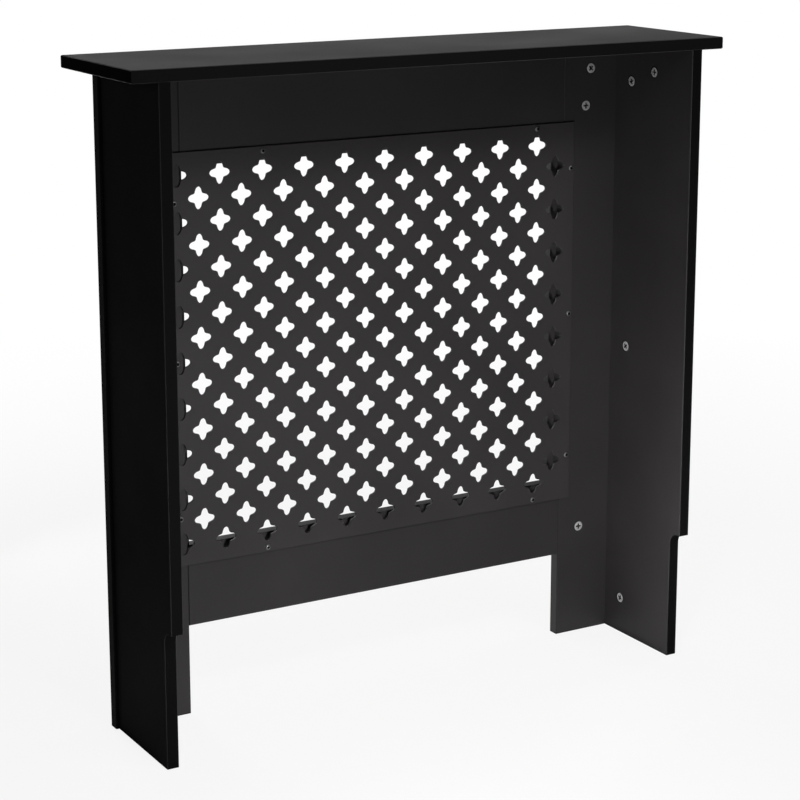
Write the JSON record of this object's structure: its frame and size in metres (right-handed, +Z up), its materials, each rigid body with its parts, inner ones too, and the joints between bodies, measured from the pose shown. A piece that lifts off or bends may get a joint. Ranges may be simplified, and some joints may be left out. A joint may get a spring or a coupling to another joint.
{
  "type": "radiator cover cabinet",
  "caption": "Cabinet that stands over a wall radiator: shelf, side panels and a front frame with a four-lobed lattice grille, open at the back and held by cam locks.",
  "frame": {"origin": "on the floor, at the middle of the shelf's width and depth", "axes": "+X to the right seen from the room, +Y from the room to the wall, +Z up"},
  "size_m": [0.8, 0.2, 0.815],
  "materials": {
    "painted_board": "satin near-black paint on fibreboard",
    "grille_sheet": "satin near-black paint on thin fibreboard",
    "cam_zinc": "dull zinc",
    "bolt_steel": "zinc plated",
    "screw_steel": "darkened zinc",
    "dowel_beech": "bare beech"
  },
  "bodies": {
    "cabinet": {"top_shelf": "painted_board", "side_panel_left": "painted_board", "side_panel_right": "painted_board", "stile_left": "painted_board", "stile_right": "painted_board", "top_rail": "painted_board", "bottom_rail": "painted_board", "moulding_top": "painted_board", "moulding_bottom": "painted_board", "moulding_left": "painted_board", "moulding_right": "painted_board", "grille_panel": "grille_sheet", "cam_bolts": "bolt_steel", "grille_screws": "screw_steel", "dowels": "dowel_beech"},
    "cam_side_left_top": {"cam_side_left_top": "cam_zinc"},
    "cam_side_left_middle": {"cam_side_left_middle": "cam_zinc"},
    "cam_side_left_bottom": {"cam_side_left_bottom": "cam_zinc"},
    "cam_side_left_shelf": {"cam_side_left_shelf": "cam_zinc"},
    "cam_stile_left_shelf": {"cam_stile_left_shelf": "cam_zinc"},
    "cam_stile_left_top_rail": {"cam_stile_left_top_rail": "cam_zinc"},
    "cam_stile_left_bottom_rail": {"cam_stile_left_bottom_rail": "cam_zinc"},
    "cam_side_right_top": {"cam_side_right_top": "cam_zinc"},
    "cam_side_right_middle": {"cam_side_right_middle": "cam_zinc"},
    "cam_side_right_bottom": {"cam_side_right_bottom": "cam_zinc"},
    "cam_side_right_shelf": {"cam_side_right_shelf": "cam_zinc"},
    "cam_stile_right_shelf": {"cam_stile_right_shelf": "cam_zinc"},
    "cam_stile_right_top_rail": {"cam_stile_right_top_rail": "cam_zinc"},
    "cam_stile_right_bottom_rail": {"cam_stile_right_bottom_rail": "cam_zinc"}
  },
  "joints": [
    {"name": "cam_side_left_top_turn", "type": "hinge", "parent": "cabinet", "child": "cam_side_left_top", "pos_m": [-0.3535, -0.026, 0.75], "axis": [1, 0, 0], "range_deg": [0, 180]},
    {"name": "cam_side_left_middle_turn", "type": "hinge", "parent": "cabinet", "child": "cam_side_left_middle", "pos_m": [-0.3535, -0.026, 0.399], "axis": [1, 0, 0], "range_deg": [0, 180]},
    {"name": "cam_side_left_bottom_turn", "type": "hinge", "parent": "cabinet", "child": "cam_side_left_bottom", "pos_m": [-0.3535, -0.026, 0.048], "axis": [1, 0, 0], "range_deg": [0, 180]},
    {"name": "cam_side_left_shelf_turn", "type": "hinge", "parent": "cabinet", "child": "cam_side_left_shelf", "pos_m": [-0.3535, 0.022, 0.766], "axis": [1, 0, 0], "range_deg": [0, 180]},
    {"name": "cam_stile_left_shelf_turn", "type": "hinge", "parent": "cabinet", "child": "cam_stile_left_shelf", "pos_m": [-0.3135, -0.06, 0.766], "axis": [0, 1, 0], "range_deg": [0, 180]},
    {"name": "cam_stile_left_top_rail_turn", "type": "hinge", "parent": "cabinet", "child": "cam_stile_left_top_rail", "pos_m": [-0.3065, -0.06, 0.718], "axis": [0, 1, 0], "range_deg": [0, 180]},
    {"name": "cam_stile_left_bottom_rail_turn", "type": "hinge", "parent": "cabinet", "child": "cam_stile_left_bottom_rail", "pos_m": [-0.3065, -0.06, 0.148], "axis": [0, 1, 0], "range_deg": [0, 180]},
    {"name": "cam_side_right_top_turn", "type": "hinge", "parent": "cabinet", "child": "cam_side_right_top", "pos_m": [0.3535, -0.026, 0.75], "axis": [-1, 0, 0], "range_deg": [0, 180]},
    {"name": "cam_side_right_middle_turn", "type": "hinge", "parent": "cabinet", "child": "cam_side_right_middle", "pos_m": [0.3535, -0.026, 0.399], "axis": [-1, 0, 0], "range_deg": [0, 180]},
    {"name": "cam_side_right_bottom_turn", "type": "hinge", "parent": "cabinet", "child": "cam_side_right_bottom", "pos_m": [0.3535, -0.026, 0.048], "axis": [-1, 0, 0], "range_deg": [0, 180]},
    {"name": "cam_side_right_shelf_turn", "type": "hinge", "parent": "cabinet", "child": "cam_side_right_shelf", "pos_m": [0.3535, 0.022, 0.766], "axis": [-1, 0, 0], "range_deg": [0, 180]},
    {"name": "cam_stile_right_shelf_turn", "type": "hinge", "parent": "cabinet", "child": "cam_stile_right_shelf", "pos_m": [0.3135, -0.06, 0.766], "axis": [0, 1, 0], "range_deg": [0, 180]},
    {"name": "cam_stile_right_top_rail_turn", "type": "hinge", "parent": "cabinet", "child": "cam_stile_right_top_rail", "pos_m": [0.3065, -0.06, 0.718], "axis": [0, 1, 0], "range_deg": [0, 180]},
    {"name": "cam_stile_right_bottom_rail_turn", "type": "hinge", "parent": "cabinet", "child": "cam_stile_right_bottom_rail", "pos_m": [0.3065, -0.06, 0.148], "axis": [0, 1, 0], "range_deg": [0, 180]}
  ]
}
